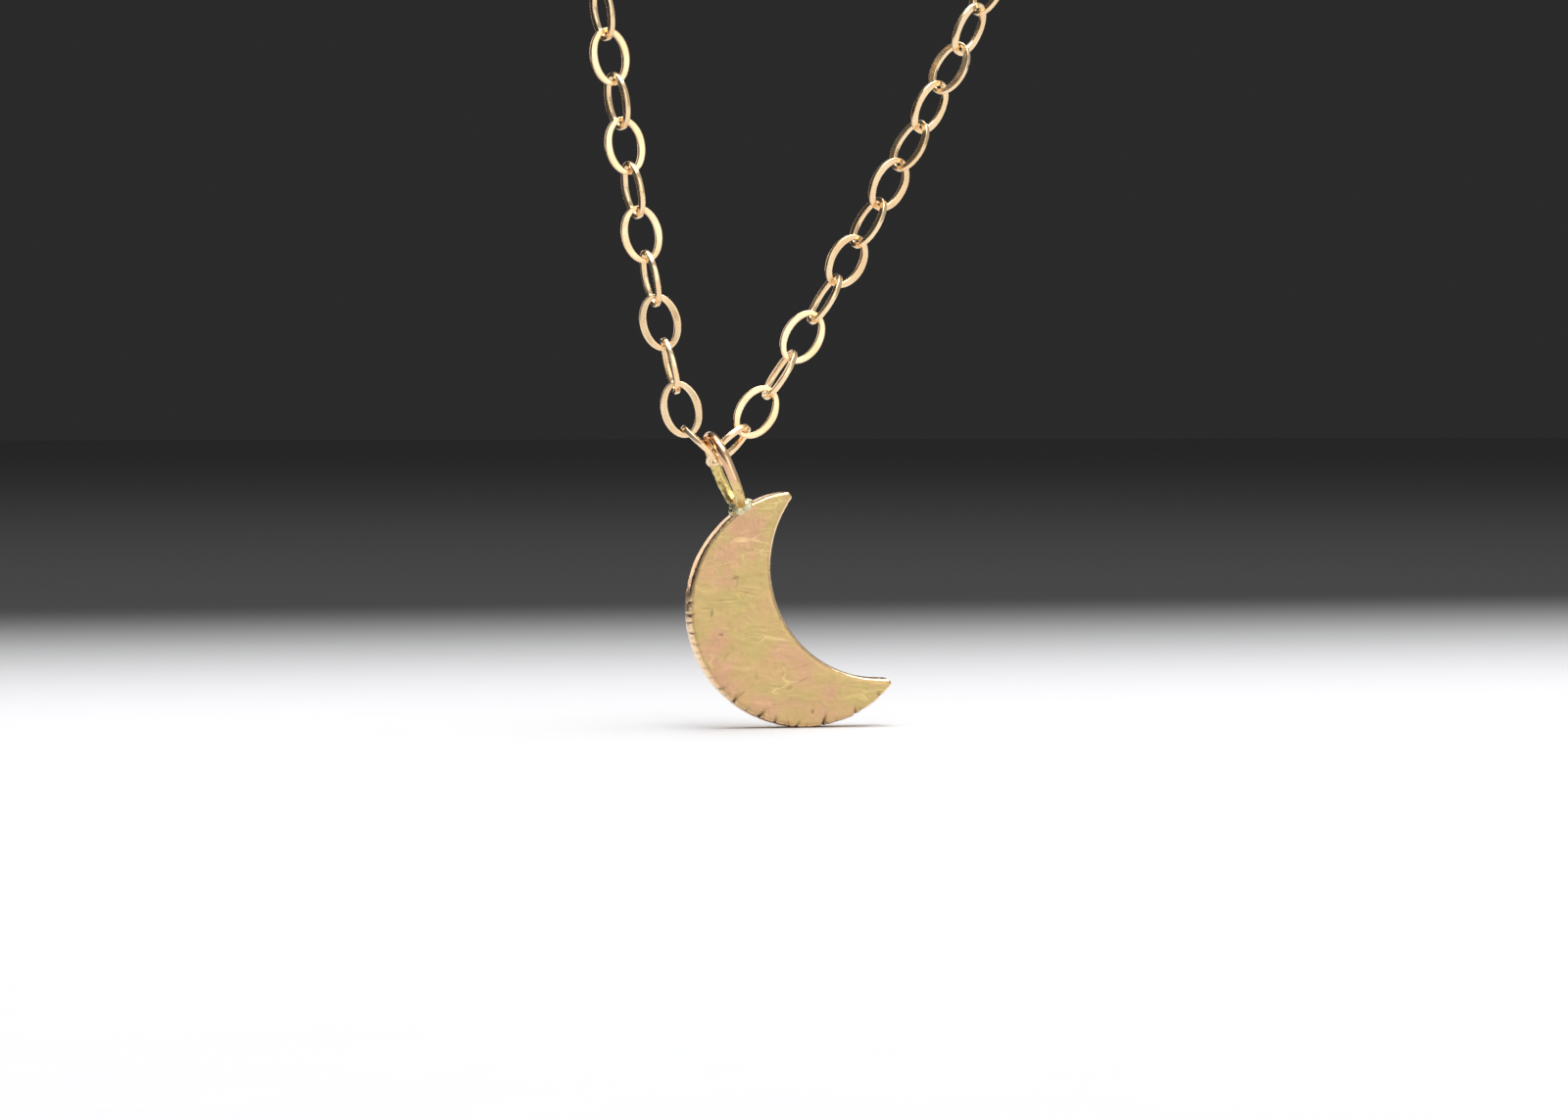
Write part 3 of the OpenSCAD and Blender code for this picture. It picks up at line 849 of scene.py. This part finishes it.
@dataclass
class CrescentCharm:
    """The crescent: sawn from sheet, filed round and left with its small cuts."""

    gold: Material
    outer: float = 4.57 * MM
    inner: float = 4.36 * MM
    offset: float = 3.44 * MM
    open_angle: float = radians(28.7)
    thickness: float = 1.0 * MM
    blunt: float = 0.5 * MM
    edge_round: float = 0.19 * MM
    tip_round: float = 0.24 * MM
    stations: int = 520
    rows: int = 64
    wall_rows: int = 5
    # Direction in degrees, width in millimetres and strength of each cut in the rim.
    # fmt: off
    rim_cuts: tuple[Triple, ...] = (
        (176.0, 0.05, 0.35), (182.2, 0.06, 0.6), (186.0, 0.05, 0.3), (190.9, 0.05, 0.45),
        (193.8, 0.045, 0.3), (196.6, 0.05, 0.5), (201.2, 0.05, 0.4), (204.5, 0.045, 0.3),
        (209.3, 0.05, 0.35), (215.0, 0.05, 0.4), (222.0, 0.06, 0.7), (226.5, 0.045, 0.3),
        (231.8, 0.075, 1.0), (239.0, 0.05, 0.4), (245.8, 0.08, 1.1), (248.6, 0.05, 0.4),
        (254.6, 0.065, 0.8), (259.5, 0.045, 0.35), (262.0, 0.05, 0.5), (265.3, 0.06, 0.7),
        (270.5, 0.045, 0.3), (278.7, 0.075, 1.3), (281.2, 0.055, 0.7), (286.0, 0.045, 0.35),
        (295.9, 0.07, 0.9), (300.2, 0.055, 0.6), (306.0, 0.045, 0.35), (311.2, 0.07, 0.75),
    )
    # fmt: on
    marks: tuple[Mark, ...] = (
        Mark(-3.32, -0.97, 0.14, 0.10, 0.040),
        Mark(-3.70, -0.15, 0.34, 0.07, 0.030, 80.0),
        Mark(-2.75, 1.20, 0.20, 0.12, 0.030, 30.0),
        Mark(-2.70, 0.95, 0.40, 0.06, 0.018, 80.0),
        Mark(-3.15, 0.35, 0.80, 0.05, 0.016, 2.0),
        Mark(-3.90, 0.02, 0.40, 0.05, 0.016, 0.0),
        Mark(-2.30, 0.62, 0.70, 0.05, 0.014, -12.0),
        Mark(-0.63, -3.05, 0.22, 0.10, 0.022, 35.0),
        Mark(-0.10, -2.75, 0.45, 0.06, 0.016, 30.0),
        Mark(0.25, -3.95, 0.18, 0.08, 0.030, 75.0),
        Mark(-2.55, -3.25, 0.35, 0.07, 0.024, 35.0),
        Mark(-3.10, -1.75, 0.25, 0.06, 0.018, 50.0),
        Mark(-1.95, -2.60, 0.25, 0.06, 0.016, 85.0),
    )
    flats: tuple[float, ...] = (287.0, 301.0, 314.0)
    flat_half: float = radians(7.0)
    flat_share: float = 0.65
    edge_rows: int = 6
    cut_depth: float = 0.06 * MM
    tip_reach: float = 0.42 * MM
    tip_passes: int = 10
    rim_band: float = 0.18 * MM

    def corner_angles(self) -> tuple[float, float]:
        """Finds where the crescent's points are cut off.

        Returns:
            Angles from the open side, round the outer and round the inner edge.
        """
        tip = acos((self.outer**2 + self.offset**2 - self.inner**2) / (2 * self.outer * self.offset))
        sweep_in = acos((self.outer * cos(tip) - self.offset) / self.inner)
        cut = 0.8 * self.blunt
        return tip + cut / self.outer, sweep_in + cut / self.inner

    def rim_radius(self, turn: float) -> float:
        """Radius of the outer edge in one direction, with its filed flats.

        Args:
            turn: Direction in radians.

        Returns:
            The radius.
        """
        radius = self.outer
        for middle in self.flats:
            off = remainder(turn - radians(middle), 2 * pi)
            if abs(off) < self.flat_half:
                filed = self.flat_share * cos(self.flat_half) / cos(off)
                radius = min(radius, self.outer * (1.0 - self.flat_share + filed))
        return radius

    def outline_point(self, along: float, out: float) -> tuple[Vector, float]:
        """Places a point of the sheet.

        Args:
            along: From 0 at one point of the crescent to 1 at the other.
            out: From 0 at the inner edge to 1 at the outer edge.

        Returns:
            The point and its distance from the nearest edge.
        """
        first, second = self.corner_angles()
        turn = self.open_angle + first + (2 * pi - 2 * first) * along
        inside = self.open_angle + second + (2 * pi - 2 * second) * along
        rim = self.rim_radius(turn) * Vector((cos(turn), 0.0, sin(turn)))
        bite = Vector((cos(self.open_angle), 0.0, sin(self.open_angle))) * self.offset
        bite += self.inner * Vector((cos(inside), 0.0, sin(inside)))
        width = (rim - bite).length
        close = min(2.2 * self.edge_round, 0.45 * width) / width
        spread = out * self.rows
        near = self.edge_rows
        if spread <= near:
            share = close * (spread / near) ** 1.5
        elif spread >= self.rows - near:
            share = 1.0 - close * ((self.rows - spread) / near) ** 1.5
        else:
            share = close + (1.0 - 2 * close) * (spread - near) / (self.rows - 2 * near)
        ends = min(along, 1.0 - along) * (2 * pi - 2 * first) * self.outer
        if ends < self.tip_round:
            share = 0.5 + (share - 0.5) * sqrt(max(0.03, 1.0 - (1.0 - ends / self.tip_round) ** 2))
        point = bite.lerp(rim, share)
        return point, min(share * width, (1.0 - share) * width, ends)

    def cut_at(self, point: Vector) -> tuple[float, float]:
        """Depth of the cuts and dents at a point, and the painted shade in them.

        Args:
            point: A point of the front face, from the crescent's centre.

        Returns:
            How far the surface is pushed in, and how much painted shade it gets, from 0 to 1.
        """
        depth = shade_amount = 0.0
        reach = Vector((point.x, point.z)).length
        turn = degrees(atan2(point.z, point.x)) % 360.0
        front = held(0.5 - point.y / self.thickness)
        for angle, wide, strength in self.rim_cuts:
            lean = 2.2 * sin(angle)
            along_rim = radians(turn - angle) * reach / MM + lean * (reach / self.outer - 1.0)
            if abs(along_rim) > 3 * wide:
                continue
            inward = (self.outer - reach) / MM
            reached = hump(along_rim / (0.8 * wide)) * hump(inward / (0.10 + 0.15 * strength)) * front
            depth += self.cut_depth * strength * reached
            # Painted shade in each rim cut, stronger where the cut is deeper.
            shade_amount = max(shade_amount, min(1.0, 1.5 * strength * reached))
        if point.y < 0.0:
            for mark in self.marks:
                way = Vector((point.x / MM - mark.across, point.z / MM - mark.up))
                if way.length > mark.long + 0.1:
                    continue
                turned = radians(mark.turn)
                long = way.x * cos(turned) + way.y * sin(turned)
                wide = way.y * cos(turned) - way.x * sin(turned)
                shape = exp(-((2 * long / mark.long) ** 4) - (2 * wide / mark.wide) ** 2)
                depth += mark.deep * MM * shape
                # Painted shade in each dent, stronger where the dent is deeper.
                shade_amount = max(shade_amount, min(0.75, 14.0 * mark.deep * shape))
        return depth, shade_amount

    def build(self) -> None:
        """Makes the crescent."""
        centre = crescent_centre()
        shape = bmesh.new()
        ops.create_grid(shape, x_segments=self.stations, y_segments=self.rows, size=1.0)
        depth_layer = shape.verts.layers.float.new("edge_distance")
        # This layer carries the painted shade of the cuts and dents to the material.
        shade_layer = shape.verts.layers.float.new("cut")
        for vertex in shape.verts:
            place, inside = self.outline_point((vertex.co.x + 1) / 2, (vertex.co.y + 1) / 2)
            vertex.co = place
            vertex[depth_layer] = inside
        grown = ops.extrude_face_region(shape, geom=list(shape.faces))["geom"]
        back = set(only(grown, Vert))
        for vertex in shape.verts:
            side = 1.0 if vertex in back else -1.0
            inset = max(0.0, 1.0 - vertex[depth_layer] / self.edge_round)
            rise = self.edge_round * (1.0 - sqrt(max(0.0, 1.0 - inset**2)))
            vertex.co.y = side * (self.thickness / 2 - rise)
        walls = [e for e in shape.edges if (e.verts[0] in back) != (e.verts[1] in back)]
        ops.subdivide_edges(shape, edges=walls, cuts=self.wall_rows, use_grid_fill=True)
        tips = [v for v in shape.verts if self.near_tip(v.co)]
        for _ in range(self.tip_passes):
            ops.smooth_vert(
                shape, verts=tips, factor=0.5, use_axis_x=True, use_axis_y=False, use_axis_z=True
            )
        for vertex in shape.verts:
            point = vertex.co.copy()
            pushed, shade_amount = self.cut_at(point)
            vertex[shade_layer] = shade_amount
            swell = 0.010 * MM * lumpy(point, 1.3 * MM) + 0.004 * MM * lumpy(point, 0.45 * MM, 4.0)
            side = copysign(1.0, point.y)
            flat = abs(point.y) > self.thickness / 2 - self.edge_round
            if flat:
                vertex.co.y -= side * ((pushed if side < 0 else 0.0) + 0.5 * (swell + 0.006 * MM))
            radial = Vector((point.x, 0.0, point.z)).normalized()
            rim = hump((self.outer - Vector((point.x, point.z)).length) / self.rim_band)
            chatter = 0.012 * MM * (lumpy(point, 0.8 * MM, 9.0) - 1.0)
            chatter += 0.005 * MM * lumpy(point, 0.2 * MM, 2.0)
            vertex.co += radial * rim * (chatter - 0.8 * pushed)
        place = Matrix.Translation(centre)
        add_piece("crescent_charm", shape, ["crescent"], self.gold, place)

    def near_tip(self, point: Vector) -> bool:
        """Says if a point lies by one of the crescent's two points.

        Args:
            point: A point from the crescent's centre.

        Returns:
            True within tip_reach of a point's cut.
        """
        first, _ = self.corner_angles()
        for sign in (1.0, -1.0):
            turn = self.open_angle + sign * first
            corner = self.outer * 0.975 * Vector((cos(turn), sin(turn)))
            if (Vector((point.x, point.z)) - corner).length < self.tip_reach:
                return True
        return False


@dataclass
class WireBail:
    """The bail: a loop of round wire, soldered at its foot to the crescent's rim."""

    gold: Material
    solder: Material
    opening: float = 1.98 * MM
    wire: float = 0.43 * MM
    length: float = 3.28 * MM
    steps: int = 40
    straight_steps: int = 6
    sides: int = 28
    solder_size: Triple = (0.40 * MM, 0.34 * MM, 0.52 * MM)

    def seat(self) -> Matrix:
        """Finds the bail's own frame.

        Returns:
            A frame in which its loop lies in XY, with Y towards its top.
        """
        joint = joint_called("pendant_swing")
        across = Vector(joint["axis"]).normalized()
        back = Vector((0.0, 1.0, 0.0))
        up = across.cross(back)
        placed = Matrix((back, up, across)).transposed().to_4x4()
        placed.translation = Vector(joint["pos_m"])
        return placed

    def build(self) -> None:
        """Makes the bail and its solder."""
        reach = (self.opening + self.wire) / 2
        straight = self.length - self.opening - 2 * self.wire
        shape = bmesh.new()
        edges = round_bar(shape, self.wire / 2, self.sides, Vector((reach, 0.0, 0.0)))
        for way, bend in ((-1.0, ORIGIN), (1.0, Vector((0.0, -straight, 0.0)))):
            edges = sweep(shape, edges, pi, self.steps, centre=bend)
            for _ in range(self.straight_steps):
                edges = self.pull(shape, edges, Vector((0.0, way * straight / self.straight_steps, 0.0)))
        ops.remove_doubles(shape, verts=shape.verts, dist=0.001 * MM)
        layer = shape.verts.layers.float.new("rough_back")
        for vertex in shape.verts:
            point = vertex.co.copy()
            behind = held(point.x / (0.5 * MM) - 0.2) * held(1.35 - point.y / MM)
            vertex[layer] = max(behind, 0.7 * held((-straight - point.y) / (0.4 * MM)))
            middle = self.core(point, reach, straight)
            away = point - middle
            grow = 0.045 * lumpy(point, 0.45 * MM, 3.0) * (1.0 + 2.2 * vertex[layer])
            grow += vertex[layer] * (0.12 * lumpy(point, 0.16 * MM, 7.0) - 0.03)
            flat = -0.05 if point.x < 0.0 else 0.0
            vertex.co = middle + away * (1.0 + min(grow + flat, 0.04))
        add_piece("wire_bail", shape, ["bail"], self.gold, self.seat())
        self.build_solder(reach, straight)

    @staticmethod
    def pull(shape: Shape, edges: Edges, by: Vector) -> Edges:
        """Extrudes edges and moves the new ones.

        Args:
            shape: The shape.
            edges: What is extruded.
            by: How far.

        Returns:
            The new edges.
        """
        grown = ops.extrude_edge_only(shape, edges=edges)["geom"]
        ops.translate(shape, verts=only(grown, Vert), vec=by)
        return only(grown, Edge)

    @staticmethod
    def core(point: Vector, reach: float, straight: float) -> Vector:
        """Finds the nearest point on the wire's middle line.

        Args:
            point: A point of the wire.
            reach: Radius of the bail's ends.
            straight: Length of its straight sides.

        Returns:
            The point on the middle line.
        """
        if point.y >= 0.0 or point.y <= -straight:
            end = Vector((0.0, 0.0 if point.y >= 0.0 else -straight, 0.0))
            way = Vector((point.x, point.y - end.y, 0.0)).normalized()
            return end + reach * way
        return Vector((copysign(reach, point.x), point.y, 0.0))

    def build_solder(self, reach: float, straight: float) -> None:
        """Makes the solder that runs from the bail's foot along the crescent's rim.

        Args:
            reach: Radius of the bail's ends.
            straight: Length of its straight sides.
        """
        foot = Vector((-0.16 * MM, -straight - reach - 0.3 * self.wire, 0.06 * MM))
        shape = bmesh.new()
        ops.create_icosphere(shape, subdivisions=5, radius=1.0)
        for vertex in shape.verts:
            way = vertex.co.copy()
            rough = 1.0 + 0.16 * lumpy(way, 0.55, 2.0) + 0.07 * lumpy(way, 0.2, 5.0)
            skirt = 1.0 + 0.55 * max(0.0, -way.y) ** 2
            vertex.co = Vector(self.solder_size) * way * rough
            vertex.co.z *= skirt
        ops.translate(shape, verts=shape.verts, vec=foot)
        add_piece("bail_solder", shape, ["on:bail"], self.solder, self.seat())


# ---- the clasp


@dataclass
class SpringRingClasp:
    """The spring ring and the rings on both sides of it."""

    gold: Material
    steel: Material
    radius: float = 2.2 * MM
    tube: float = 0.55 * MM
    bore: float = 0.36 * MM
    bolt: float = 0.3 * MM
    mouth_from: float = 60.0
    mouth: float = 40.0
    bolt_from: float = 54.0
    bolt_to: float = 126.0
    bolt_travel: float = 42.0
    lever_at: float = 114.0
    lever: float = 0.2 * MM
    lever_reach: float = 0.9 * MM
    eye_inner: float = 0.4 * MM
    eye_wire: float = 0.2 * MM
    jump_inner: float = 0.88 * MM
    jump_wire: float = 0.2 * MM
    end_inner: float = 1.3 * MM
    end_wire: float = 0.25 * MM
    sides: int = 24
    steps: int = 96
    bore_steps: int = 26
    lip_round: float = 0.035 * MM
    socket_steps: int = 3
    socket_step: float = radians(2.6)
    slot_play: float = 0.06 * MM
    slot_half: float = 28.0
    nose_round: float = 0.11 * MM
    lever_round: float = 0.12 * MM

    def add(self, name: str, shape: Shape, node: str, place: Matrix) -> None:
        """Adds one gold piece that stands for a node, at its place."""
        add_piece(name, shape, [node], self.gold, place)

    @property
    def middle(self) -> Vector:
        """The ring's centre, which the bolt slides round."""
        return Vector(joint_called("bolt_slide")["pos_m"])

    def upright(self, at: Vector) -> Matrix:
        """Stands a ring that was made in XY up in the clasp's plane."""
        return Matrix.Translation(at) @ Matrix.Rotation(pi / 2, 4, "X")

    def build(self) -> None:
        """Makes every piece of the clasp."""
        self.build_case()
        self.build_bolt()
        self.build_lever()
        eye = wire_ring(self.eye_inner + self.eye_wire, self.eye_wire, 64, 18, pi / 2)
        self.add("clasp_eye_ring", eye, "clasp_eye", self.upright(box_centre("clasp_eye")))
        jump = wire_ring(self.jump_inner + self.jump_wire, self.jump_wire, 96, 18, pi / 2)
        self.add("jump_ring_wire", jump, "clasp_jump_ring", Matrix.Translation(box_centre("clasp_jump_ring")))
        end = wire_ring(self.end_inner + self.end_wire, self.end_wire, 112, 20, -pi / 2)
        self.add("closed_ring_wire", end, "end_ring", Matrix.Translation(box_centre("end_ring")))
        spring = frame["nodes"]["clasp_spring"]
        spring.data.materials.clear()
        spring.data.materials.append(self.steel)
        smooth_all(spring)

    def build_case(self) -> None:
        """Makes the tube with its mouth, bore and lever slot."""
        shape = bmesh.new()
        start = self.mouth_from + self.mouth
        turned = Matrix.Rotation(radians(start), 4, "Z")
        step = radians(360.0 - self.mouth) / self.steps
        circles = []
        for size, count in ((self.tube, self.steps), (self.bore, self.bore_steps)):
            edges = round_bar(shape, size, self.sides, Vector((self.radius, 0.0, 0.0)))
            ops.transform(shape, matrix=turned, verts=corners(edges))
            circles.append((edges, sweep(shape, edges, step * count, count)))
        ops.bridge_loops(shape, edges=circles[0][0] + circles[1][0])
        ops.contextual_create(shape, geom=circles[1][1])
        socket = self.close_with_socket(shape, circles[0][1])
        self.open_slot(shape)
        lips = [e for e in shape.edges if len(e.link_faces) == 2 and e.calc_face_angle(0.0) > 1.0]
        soften(shape, [e for e in lips if e not in socket], self.lip_round, 2)
        self.add("spring_ring_case", shape, "clasp_case", self.upright(self.middle))

    def close_with_socket(self, shape: Shape, rim: Edges) -> set[Edge]:
        """Closes the tube's far end with the blind hole that takes the bolt's nose.

        Args:
            shape: The case so far.
            rim: The tube's open edge.

        Returns:
            Edges at the bottom of the hole, which stay sharp.
        """
        cap = ops.contextual_create(shape, geom=rim)["faces"]
        ops.inset_region(shape, faces=cap, thickness=self.tube - self.bore, depth=0.0)
        deeper = Matrix.Rotation(-self.socket_step, 3, "Z")
        floor = cap
        for _ in range(self.socket_steps):
            grown = ops.extrude_face_region(shape, geom=floor)["geom"]
            ops.delete(shape, geom=floor, context="FACES_ONLY")
            verts = only(grown, Vert)
            ops.rotate(shape, verts=verts, cent=ORIGIN, matrix=deeper)
            floor = only(grown, Face)
        return {e for f in floor for e in f.edges}

    def open_slot(self, shape: Shape) -> None:
        """Opens the lever's slot through the tube's outer wall.

        Args:
            shape: The case so far.
        """
        half = degrees(asin((self.lever + self.slot_play) / self.radius))
        low, high = self.lever_at - half, self.lever_at + self.bolt_travel + half

        def in_slot(face: Face) -> bool:
            """Says if a face lies in the slot's place.

            Args:
                face: A face of the case.

            Returns:
                True if it does.
            """
            spot = face.calc_center_median()
            turn = degrees(atan2(spot.y, spot.x)) % 360.0
            out = Vector((spot.x, spot.y)).length - self.radius
            slant = degrees(atan2(spot.z, out))
            return low < turn < high and abs(slant) < self.slot_half

        gone = [f for f in shape.faces if in_slot(f)]
        ops.delete(shape, geom=gone, context="FACES")
        open_edges = [e for e in shape.edges if len(e.link_faces) == 1]
        ops.bridge_loops(shape, edges=open_edges)

    def build_bolt(self) -> None:
        """Makes the curved bolt with a rounded nose."""
        shape = bmesh.new()
        edges = round_bar(shape, self.bolt, self.sides, Vector((self.radius, 0.0, 0.0)))
        turned = Matrix.Rotation(radians(self.bolt_from), 4, "Z")
        ops.transform(shape, matrix=turned, verts=corners(edges))
        last = sweep(shape, edges, radians(self.bolt_to - self.bolt_from), 40)
        caps = [ops.contextual_create(shape, geom=rim)["faces"] for rim in (edges, last)]
        ends = list({e for cap in caps for f in cap for e in f.edges})
        soften(shape, ends, self.nose_round, 5)
        self.add("spring_ring_bolt", shape, "clasp_bolt", self.upright(self.middle))

    def build_lever(self) -> None:
        """Makes the thumb lever with its domed and waisted top."""
        foot = self.radius + 0.75 * self.bolt
        tip = self.radius + self.tube + self.lever_reach
        tall = tip - foot
        waist_at, waist_half, waist_in = 0.62, 0.16, 0.24
        shape = bmesh.new()
        ops.create_cone(
            shape, cap_ends=True, segments=32, radius1=self.lever, radius2=self.lever, depth=tall
        )
        sides = [e for e in shape.edges if abs(e.verts[0].co.z - e.verts[1].co.z) > 0.1 * MM]
        ops.subdivide_edges(shape, edges=sides, cuts=14)
        top = [e for e in shape.edges if min(v.co.z for v in e.verts) > tall / 2 - 1e-7]
        soften(shape, top, self.lever_round, 5)
        for vertex in shape.verts:
            height = vertex.co.z / tall + 0.5
            waist = 1.0 - waist_in * hump((height - waist_at) / waist_half)
            vertex.co.x *= waist
            vertex.co.y *= waist
        laid = Matrix.Rotation(radians(self.lever_at), 4, "Z")
        laid @= Matrix.Translation(((foot + tip) / 2, 0.0, 0.0)) @ Matrix.Rotation(pi / 2, 4, "Y")
        ops.transform(shape, matrix=laid, verts=shape.verts)
        self.add("thumb_lever", shape, "clasp_lever", self.upright(self.middle))


# ---- the studio


@dataclass(frozen=True)
class Softbox:
    """One soft light: where it stands from the pendant, its size, strength and tint."""

    name: str
    place: Triple
    size: tuple[float, float]
    power: float
    tint: Colour = (1.0, 1.0, 1.0)
    mirrored_only: bool = False


@dataclass
class Studio:
    """The pale floor, the soft lights and the camera."""

    azimuth: float = -13.0
    elevation: float = 2.0
    lens: float = 100.0
    view_width: float = 60.15 * MM
    aim: tuple[float, float] = (-0.72 * MM, 1.85 * MM)
    bright_side: Triple = (0.65, -0.55, 0.5)
    room: tuple[float, float] = (0.02, 0.5)
    room_turn: tuple[float, float] = (-0.7, 0.85)
    room_tint: Colour = (0.98, 0.98, 1.0)
    backdrop: float = 0.024
    floor_half: float = 1.5
    sensor: float = 36.0
    clip: tuple[float, float] = (0.005, 20.0)
    softboxes: tuple[Softbox, ...] = (
        Softbox("key_softbox", (0.10, -0.33, 0.10), (0.30, 0.30), 0.30, (1.0, 0.98, 0.95), True),
        Softbox("top_softbox", (0.02, -0.02, 0.37), (0.38, 0.38), 1.8),
        Softbox("back_softbox", (-0.05, 0.33, 0.07), (0.22, 0.12), 0.10, (1.0, 0.84, 0.72), True),
    )

    def build(self) -> None:
        """Makes the floor, world, lights and camera."""
        low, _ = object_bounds()
        centre = crescent_centre()
        bpy.context.scene.view_settings.view_transform = "Standard"
        self.build_floor(Vector((centre.x, centre.y, low.z)))
        self.build_world()
        for box in self.softboxes:
            self.build_softbox(box, centre)
        self.build_camera(centre)

    def build_floor(self, middle: Vector) -> None:
        """Lays the floor.

        Args:
            middle: Its middle, as high as the necklace's lowest point.
        """
        shape = bmesh.new()
        laid = Matrix.Translation(middle)
        ops.create_grid(shape, x_segments=8, y_segments=8, size=self.floor_half, matrix=laid)
        floor = as_object("pale_floor", shape, PalePaper(middle).material())
        floor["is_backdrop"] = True

    def build_world(self) -> None:
        """Makes the surroundings: a plain dark backdrop to the eye, and a soft room that metal mirrors."""
        world = bpy.data.worlds.new("studio_room")
        bpy.context.scene.world = world
        bench = NodeBench(world)
        outwards = bench.node("ShaderNodeTexCoord", {}, output="Generated")
        inputs = {0: outwards, 1: self.bright_side}
        turned = bench.node("ShaderNodeVectorMath", inputs, output="Value", operation="DOT_PRODUCT")
        lit = bench.span(turned, *self.room_turn, *self.room)
        to_eye = bench.node("ShaderNodeLightPath", {}, output="Is Camera Ray")
        strength = bench.node("ShaderNodeMix", {0: to_eye, 2: lit, 3: self.backdrop})
        bench.feed(bench.nodes["Background"].inputs["Strength"], strength)
        bench.feed(bench.nodes["Background"].inputs["Color"], (*self.room_tint, 1.0))

    def build_softbox(self, box: Softbox, target: Vector) -> None:
        """Hangs one soft light that faces the pendant.

        Args:
            box: The light.
            target: What it faces.
        """
        lamp = bpy.data.lights.new(box.name, "AREA")
        lamp.shape = "RECTANGLE"
        lamp.size, lamp.size_y = box.size
        lamp.energy = box.power
        lamp.color = box.tint
        hung = bpy.data.objects.new(box.name, lamp)
        hung.location = target + Vector(box.place)
        hung.rotation_euler = (-Vector(box.place)).to_track_quat("-Z", "Y").to_euler()
        hung.visible_camera = False
        hung.visible_diffuse = not box.mirrored_only
        bpy.context.scene.collection.objects.link(hung)

    def build_camera(self, target: Vector) -> None:
        """Sets the camera.

        Args:
            target: The crescent's centre.
        """
        turn, rise = radians(self.azimuth), radians(self.elevation)
        level = cos(rise)
        back = Vector((sin(turn) * level, -cos(turn) * level, sin(rise)))
        lens = bpy.data.cameras.new("camera")
        lens.lens, lens.sensor_width = self.lens, self.sensor
        lens.clip_start, lens.clip_end = self.clip
        camera = bpy.data.objects.new("camera", lens)
        facing = (-back).to_track_quat("-Z", "Y")
        right, up = facing @ Vector((1.0, 0.0, 0.0)), facing @ Vector((0.0, 1.0, 0.0))
        distance = self.view_width * self.lens / lens.sensor_width
        camera.location = target + self.aim[0] * right + self.aim[1] * up + distance * back
        camera.rotation_euler = facing.to_euler()
        bpy.context.scene.collection.objects.link(camera)
        bpy.context.scene.camera = camera


def main() -> None:
    """Builds every piece and the studio."""
    logging.basicConfig(level=logging.INFO, format="%(message)s")
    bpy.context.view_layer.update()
    chain_gold = PolishedWire("chain_gold_wire", (0.97, 0.75, 0.47), (0.92, 0.65, 0.37), 0.14, 0.24)
    clasp_gold = PolishedWire("clasp_gold_tube", (0.96, 0.74, 0.44), (0.88, 0.61, 0.32), 0.12, 0.26)
    steel = PolishedWire("spring_steel_wire", (0.62, 0.62, 0.63), (0.5, 0.5, 0.51), 0.2, 0.34)
    CableChain(chain_gold.material()).build()
    CrescentCharm(SatinCrescent(tuple(crescent_centre())).material()).build()
    WireBail(BailWire().material(), SolderSeam().material()).build()
    SpringRingClasp(clasp_gold.material(), steel.material()).build()
    Studio().build()


if __name__ == "__main__":
    main()
